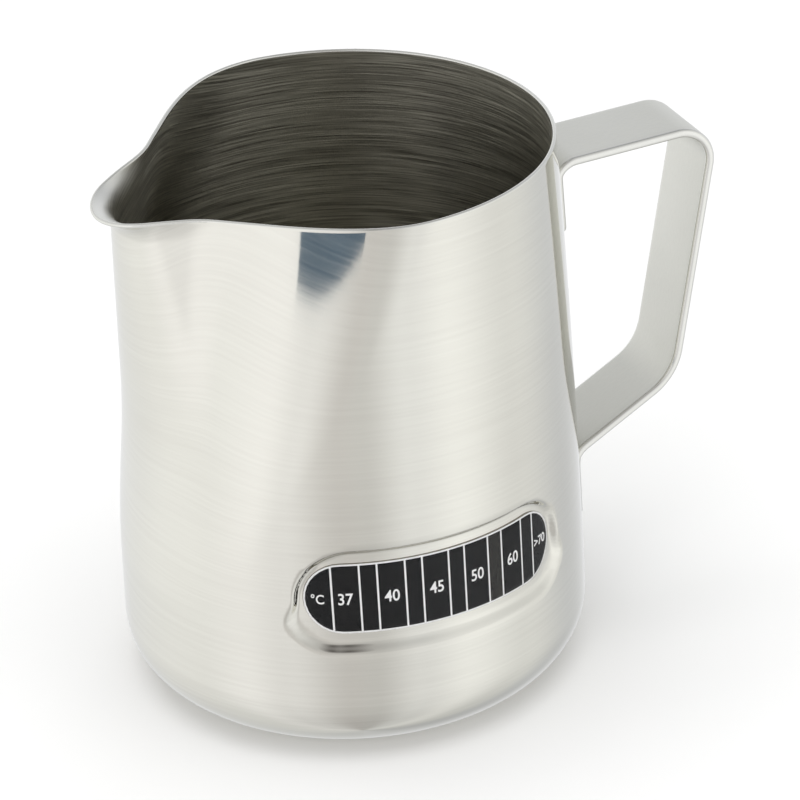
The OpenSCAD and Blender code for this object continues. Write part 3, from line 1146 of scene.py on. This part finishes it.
@dataclass
class TemperatureStrip:
    """The strip in the recess: CAD layers with their finishes, and the printed figures.

    All sizes are in millimetres, but the digit and the letter's half depth are in the font's own unit.
    """

    jug: JugBody
    number_band: float = 5.25
    plain_band: float = 3.3
    first_divider: float = 5.4
    bands: int = 11
    figure_height: float = 2.35
    figure_squeeze: float = 0.86
    ink_level: float = 0.22
    ink: float = 0.06
    film: float = 0.12
    pale_band: int = 8
    clearance: float = 0.004
    digit: float = 0.70
    letter_half: float = 0.02
    letter_depth: float = 0.03

    @property
    def floor_r(self) -> float:
        """Radius of the recess's floor at the strip's middle."""
        return float(self.jug.wall(self.jug.strip_z)) - self.jug.recess_depth

    def divider(self, i: int) -> float:
        """Distance of a divider's middle from the strip's left end."""
        return self.first_divider + math.ceil(i / 2) * self.number_band + (i // 2) * self.plain_band

    def figures(self) -> list[tuple[str, float, float]]:
        """Each printed figure, its middle's distance from the strip's left end, and its share of size."""
        marks = ["37", "40", "45", "50", "60"]
        last = self.divider(self.bands - 1)
        found = [("°C", self.first_divider / 2 + 0.15, 0.82), (">70", last + 2.15, 0.80)]
        middles = (self.divider(2 * i) + self.number_band / 2 for i in range(len(marks)))
        return found + [(mark, middle, 1.0) for mark, middle in zip(marks, middles)]

    def laid(self, x: Array, y: Array, out: Array) -> Array:
        """Points laid round the recess's floor, whose radius follows the wall's.

        Args:
            x: Arc lengths from the strip's middle.
            y: Heights over the strip's middle.
            out: Distances from the floor.

        Returns:
            The points in millimetres.
        """
        angle = x / self.floor_r + math.radians(self.jug.strip_turn)
        z = self.jug.strip_z + y
        r = self.jug.wall(z) - self.jug.recess_depth + out
        return np.stack([r * np.sin(angle), -r * np.cos(angle), z], -1)

    def written(self, text: str, middle: float, share: float) -> tuple[Array, list[tuple[int, ...]]]:
        """One figure as a thin solid, laid on the print.

        Args:
            text: What is written.
            middle: Distance of its middle from the strip's left end.
            share: Its size beside the other figures'.

        Returns:
            Its points in millimetres, and its faces.
        """
        curve = bpy.data.curves.new("figure", "FONT")
        curve.body = text
        curve.size = 1.0
        curve.extrude = self.letter_half
        curve.resolution_u = 4
        curve.offset = 0.012
        holder = added("figure", curve)
        graph = bpy.context.evaluated_depsgraph_get()
        flat = bpy.data.meshes.new_from_object(holder.evaluated_get(graph))
        co = np.zeros(len(flat.vertices) * 3)
        flat.vertices.foreach_get("co", co)
        faces = [tuple(p.vertices) for p in flat.polygons]
        bpy.data.objects.remove(holder)
        bpy.data.curves.remove(curve)
        bpy.data.meshes.remove(flat)
        co = co.reshape(-1, 3)
        scale = self.figure_height * share / self.digit
        x = (co[:, 0] - (co[:, 0].min() + co[:, 0].max()) / 2) * scale * self.figure_squeeze
        y = (co[:, 1] - self.digit / 2) * scale
        depth = (co[:, 2] / (2 * self.letter_half) + 0.5) * self.letter_depth
        out = depth + self.ink_level + self.ink - self.clearance
        return self.laid(middle - self.jug.strip_length / 2 + x, y, out), faces

    def cover(self) -> bpy.types.Object:
        """The clear cover film: a thin closed shell whose outline is the strip's, laid on the print.

        Rings shrink from the outline to a line along the middle, for its two faces in turn.

        Returns:
            The finished piece.
        """
        end_r = self.jug.strip_height / 2
        straight = self.jug.strip_length / 2 - end_r
        turn = np.linspace(-np.pi / 2, np.pi / 2, 25)
        side = np.linspace(straight, -straight, 61)[1:-1]
        right = np.stack([straight + end_r * np.cos(turn), end_r * np.sin(turn)], -1)
        top = np.stack([side, np.full(len(side), end_r)], -1)
        half = np.concatenate([right, top])
        outline = np.concatenate([half, -half])
        spine = np.stack([np.clip(outline[:, 0], -straight, straight), np.zeros(len(outline))], -1)
        share = np.linspace(1, 0, 6)[:, None, None]
        rings = spine + (outline - spine) * share
        low = self.ink_level + self.ink + self.clearance
        flat = np.concatenate([rings[::-1], rings])
        out = np.repeat([low, low + self.film], len(rings))[:, None]
        grid = self.laid(flat[..., 0], flat[..., 1], out)
        skin = Skin(grid.reshape(-1, 3), ring_quads(*grid.shape[:2]), np.zeros((0, 3), int))
        piece = skin.to_object("cover_film_laid", [ClearFilm().dress()])
        merge_doubles(piece.data)
        return settle(piece, Slot.CLEAR, "cover_film")

    def build(self) -> None:
        """Dresses the CAD layers and makes the cover and the figures."""
        self.cover()
        white, crystal, pale = WHITE.dress(), CRYSTAL.dress(), CRYSTAL_PALE.dress()
        dressed = {
            "strip_adhesive": (GLUE.dress(), Slot.GLUE),
            "strip_backing": (BLACK.dress(), Slot.FILM),
            "scale_print": (white, Slot.INK),
        }
        for i in range(self.bands):
            finish = pale if i + 1 == self.pale_band else crystal
            dressed[f"crystal_band_{i + 1:02d}"] = (finish, Slot.CRYSTAL)
        for node, (finish, slot) in dressed.items():
            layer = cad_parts[node]
            layer.data.materials.clear()
            layer.data.materials.append(finish)
            LOG.info("%s: dressed with %s", node, finish.name)
        points, faces, size = [], [], 0
        for text, middle, share in self.figures():
            co, found = self.written(text, middle, share)
            points.append(co)
            faces += [tuple(k + size for k in face) for face in found]
            size += len(co)
        mesh = bpy.data.meshes.new("scale_figures")
        mesh.from_pydata((np.concatenate(points) * MM).tolist(), [], faces)
        mesh.materials.append(white)
        merge_doubles(mesh)
        mesh.update()
        settle(added("scale_figures", mesh), Slot.INK)


# ---------------------------------------------------------------- the studio


@dataclass
class Studio:
    """A pale floor, a light tent for the metal to mirror, two dark cards, two soft lamps and the camera."""

    floor_r: float = 1.6
    card_grid: tuple[int, int] = (24, 8)
    heading: float = 21.2
    tent_by_heading: tuple[tuple[float, Colour], ...] = (
        (-180, (0.90, 0.91, 0.92)), (-85, (1.06, 1.06, 1.05)), (-57, (1.13, 1.12, 1.12)),
        (-35, (1.00, 0.99, 0.99)), (-4, (0.74, 0.72, 0.71)), (7, (0.74, 0.73, 0.72)),
        (31, (0.98, 0.98, 0.98)), (55, (1.13, 1.13, 1.12)), (92, (0.91, 0.91, 0.90)),
        (132, (0.73, 0.74, 0.76)), (180, (0.92, 0.93, 0.95)),
    )
    tent_by_height: tuple[tuple[float, float], ...] = (
        (-90, 0.72), (-40, 0.86), (-22, 1.0), (10, 1.0), (28, 0.86), (60, 0.60), (90, 0.42)
    )
    camera_at: tuple[float, float, float] = (-0.2388, -0.6159, 0.4069)
    camera_right: tuple[float, float, float] = (0.9324, -0.3615, 0.0)
    camera_up: tuple[float, float, float] = (0.1704, 0.4393, 0.8820)
    camera_back: tuple[float, float, float] = (-0.3189, -0.8224, 0.4712)
    aim: tuple[float, float] = (0.01406, -0.001913)
    roll: float = 0.0567
    lens: float = 176.64

    def floor(self) -> None:
        """A round pale floor."""
        r = np.concatenate([[0.05], np.geomspace(0.1, self.floor_r, 10)]) / MM
        a = spread(0, 2 * np.pi, 72)
        rr, aa = np.meshgrid(r, a, indexing="ij")
        grid = np.stack([rr * np.cos(aa), rr * np.sin(aa), np.zeros_like(rr)], -1)
        points = np.concatenate([grid.reshape(-1, 3), [[0.0, 0.0, 0.0]]])
        middle = fan(len(points) - 1, np.arange(len(a)), True)
        skin = Skin(points, ring_quads(len(r), len(a))[:, ::-1], middle)
        b = Bench("studio_floor")
        cloud = b.noise(b.place(), 9.0, 3.0, 0.5)
        shader = b.add("BsdfPrincipled", Roughness=0.8, Specular_IOR_Level=0.2)
        b.feed(shader, "Base Color", b.tinted(cloud, (0.90, 0.90, 0.895), (0.93, 0.93, 0.93)))
        floor = skin.to_object("studio_floor", [b.finish(shader.outputs[0])])
        floor.visible_glossy = False

    def sky(self) -> None:
        """The surroundings that polished metal mirrors: a light tent with a gap at the camera.

        The light is a share by heading times a share by height. The heading is the angle round the
        axis from the camera's own, so two bright sides stand left and right of a greyer gap. By height,
        the light is full about the horizon and falls overhead and underneath.
        """
        b = Bench("studio_tent", surroundings=True)
        turned = b.add("Mapping", {"vector_type": "VECTOR"}, Vector=b.add("TexCoord").outputs["Generated"])
        turned.inputs["Rotation"].default_value = (0.0, 0.0, math.radians(self.heading))
        x, y, z = b.add("SeparateXYZ", Vector=turned.outputs[0]).outputs
        heading = b.sum_up("ARCTAN2", x, b.sum_up("MULTIPLY", y, -1.0))
        round_share = self.ramp(b, b.ranged(heading, -math.pi, math.pi, 0.0, 1.0), [
            ((degrees + 180) / 360, tint) for degrees, tint in self.tent_by_heading
        ])
        high_share = self.ramp(b, b.ranged(z, -1.0, 1.0, 0.0, 1.0), [
            ((math.sin(math.radians(degrees)) + 1) / 2, (share,) * 3)
            for degrees, share in self.tent_by_height
        ])
        product = b.add("VectorMath", {"operation": "MULTIPLY"})
        b.feed(product, 0, round_share)
        b.feed(product, 1, high_share)
        light = b.add("Background", Color=product.outputs[0], Strength=1.0)
        bpy.context.scene.world = b.finish(light.outputs[0])

    @staticmethod
    def ramp(b: Bench, value: Output, stops: list[tuple[float, Colour]]) -> Output:
        """A colour ramp.

        Args:
            b: The tree that it is added to.
            value: Where it is read, from 0 to 1.
            stops: Each stop's place and colour.

        Returns:
            The colour's output.
        """
        node = b.add("ValToRGB", Fac=value)
        node.color_ramp.interpolation = "EASE"
        while len(node.color_ramp.elements) < len(stops):
            node.color_ramp.elements.new(0.5)
        for element, (place, _) in zip(node.color_ramp.elements, stops):
            element.position = place
        for element, (_, tint) in zip(node.color_ramp.elements, stops):
            element.color = (*tint, 1)
        return node.outputs[0]

    def card(
        self, name: str, low: tuple[float, float, float], high: tuple[float, float, float], tint: Colour,
        arch: float = 0.0, soft: float = 0.0,
    ) -> None:
        """An upright curved card that only polished metal mirrors.

        Its points lie at a distance from the axis, between two headings and two heights, and its lower
        edge rises by the square of the way from its middle.

        Args:
            name: The card's name.
            low: Distance in metres, lower heading in degrees from -Y towards -X, and lower height.
            high: Distance, upper heading and upper height.
            tint: The light that it gives.
            arch: Rise of the lower edge's ends in metres.
            soft: Radius in metres at which the card has faded out from its middle, or 0 for a full card.
        """
        wide, tall = self.card_grid
        turn, up = np.meshgrid(np.radians(np.linspace(low[1], high[1], wide)), np.linspace(0, 1, tall))
        far = low[0] + (high[0] - low[0]) * up
        bottom = low[2] + arch * np.linspace(-1, 1, wide) ** 2
        grid = np.stack([-far * np.sin(turn), -far * np.cos(turn), bottom + (high[2] - bottom) * up], -1) / MM
        i, j = np.meshgrid(np.arange(tall - 1), np.arange(wide - 1), indexing="ij")
        corner, over = i * wide + j, (i + 1) * wide + j
        quads = np.stack([corner, corner + 1, over + 1, over], -1).reshape(-1, 4)
        b = Bench(name)
        cloud = b.noise(b.place(), 3.0, 3.0, 0.6)
        glow = b.add("Emission", Color=b.tinted(cloud, tint, tuple(0.7 * c for c in tint)))
        skin = Skin(grid.reshape(-1, 3), quads, np.zeros((0, 3), int))
        shown = glow.outputs[0]
        if soft:
            middle = grid.reshape(-1, 3).mean(0) * MM
            shift = b.add("VectorMath", {"operation": "SUBTRACT"})
            b.feed(shift, 0, b.place())
            b.feed(shift, 1, tuple(middle))
            near = b.add("VectorMath", {"operation": "LENGTH"}, Vector=shift.outputs[0]).outputs["Value"]
            fade = b.add("MixShader")
            b.feed(fade, 0, b.ranged(near, 0.0, soft, 1.0, 0.0))
            b.feed(fade, 1, b.add("BsdfTransparent").outputs[0])
            b.feed(fade, 2, shown)
            shown = fade.outputs[0]
        piece = skin.to_object(name, [b.finish(shown)])
        piece.visible_camera = piece.visible_diffuse = piece.visible_shadow = False

    @staticmethod
    def lamp(name: str, at: tuple[float, float, float], size: float, power: float) -> None:
        """A square soft lamp that faces the jug, and that polished metal doesn't mirror.

        Args:
            name: The lamp's name.
            at: Its place in metres.
            size: Its side in metres.
            power: Its power in watts.
        """
        data = bpy.data.lights.new(name, "AREA")
        data.size = size
        data.energy = power
        lamp = added(name, data)
        lamp.location = at
        lamp.rotation_mode = "QUATERNION"
        lamp.rotation_quaternion = (Vector(at) - Vector((0, 0, 0.05))).to_track_quat("Z", "Y")
        lamp.visible_glossy = False

    def camera(self) -> None:
        """The camera, from its place and its three directions."""
        right, up, back = (np.array(v) for v in (self.camera_right, self.camera_up, self.camera_back))
        forward = unit(self.aim[0] * right + self.aim[1] * up - back)
        top = self.roll * right + up
        top = unit(top - (top @ forward) * forward)
        side = np.cross(forward, top)
        data = bpy.data.cameras.new("camera")
        data.lens = self.lens
        data.sensor_width = 36.0
        data.clip_start = 0.05
        eye = added("camera", data)
        turned = Matrix((side, top, -forward)).transposed().to_4x4()
        turned.translation = Vector(self.camera_at)
        eye.matrix_world = turned
        bpy.context.scene.camera = eye

    def build(self) -> None:
        """Sets up the floor, the surroundings, the lamps and the camera."""
        bpy.context.scene.view_settings.view_transform = "Standard"
        self.floor()
        self.sky()
        self.lamp("lamp_overhead", (0.0, 0.0, 1.3), 1.4, 11.0)
        self.lamp("lamp_front", (-0.7, -1.1, 0.9), 0.8, 3.0)
        self.card("card_front", (0.8, 31.0, 0.004), (0.8, 68.0, 0.10), (0.14, 0.20, 0.27), 0.016)
        self.card("card_high", (0.8, 13.0, 0.43), (0.8, 39.0, 0.84), (0.10, 0.09, 0.085), soft=0.19)
        self.camera()


def main() -> None:
    logging.basicConfig(level=logging.INFO, format="%(name)s: %(message)s")
    jug = JugBody()
    jug.build()
    handle = StrapHandle(jug)
    handle.build()
    handle.build_welds()
    TemperatureStrip(jug).build()
    Studio().build()


if __name__ == "__main__":
    main()
